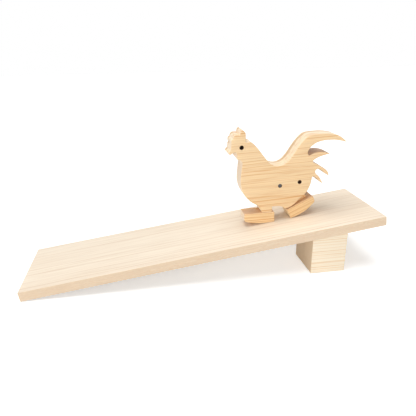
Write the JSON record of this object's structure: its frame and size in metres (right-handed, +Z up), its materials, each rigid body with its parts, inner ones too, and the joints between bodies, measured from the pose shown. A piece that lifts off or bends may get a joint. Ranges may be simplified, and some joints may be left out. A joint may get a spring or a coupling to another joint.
{
  "type": "ramp walker toy",
  "caption": "Flat wooden rooster with a fixed front foot and a pivoted rear leg that waddles down a sloping board propped on a block.",
  "frame": {"origin": "middle of the footprint, on the surface that the ramp's low edge and the block stand on", "axes": "+X along the ramp towards its high end, +Y across the ramp from the edge with the block flush to it, +Z up"},
  "size_m": [0.398, 0.1, 0.1568],
  "materials": {
    "ramp_wood": "sanded, unvarnished, pale softwood",
    "block_wood": "sanded, unvarnished, pale softwood",
    "rooster_wood": "sanded, satin oiled, warm softwood",
    "foot_wood": "sanded, satin oiled, warm softwood",
    "leg_wood": "sanded, warm softwood",
    "dowel_wood": "fluted hardwood dowel, taken as plain",
    "pin_steel": "satin",
    "stop_steel": "dull, dark"
  },
  "bodies": {
    "ramp": {"ramp_board": "ramp_wood", "prop_block": "block_wood"},
    "walker": {"rooster_body": "rooster_wood", "front_foot": "foot_wood", "front_foot_dowels": "dowel_wood", "pivot_pin": "pin_steel", "stop_pin": "stop_steel"},
    "leg": {"rear_leg": "leg_wood", "rear_foot": "foot_wood"}
  },
  "joints": [
    {"name": "walker_travel", "type": "slide", "parent": "ramp", "child": "walker", "axis": [-0.9914, 0, -0.1305], "range_m": [-0.04, 0.235]},
    {"name": "leg_swing", "type": "hinge", "parent": "walker", "child": "leg", "pos_m": [0.08844, 0.0055, 0.09144], "axis": [0, -1, 0], "range_deg": [0, 17]}
  ]
}
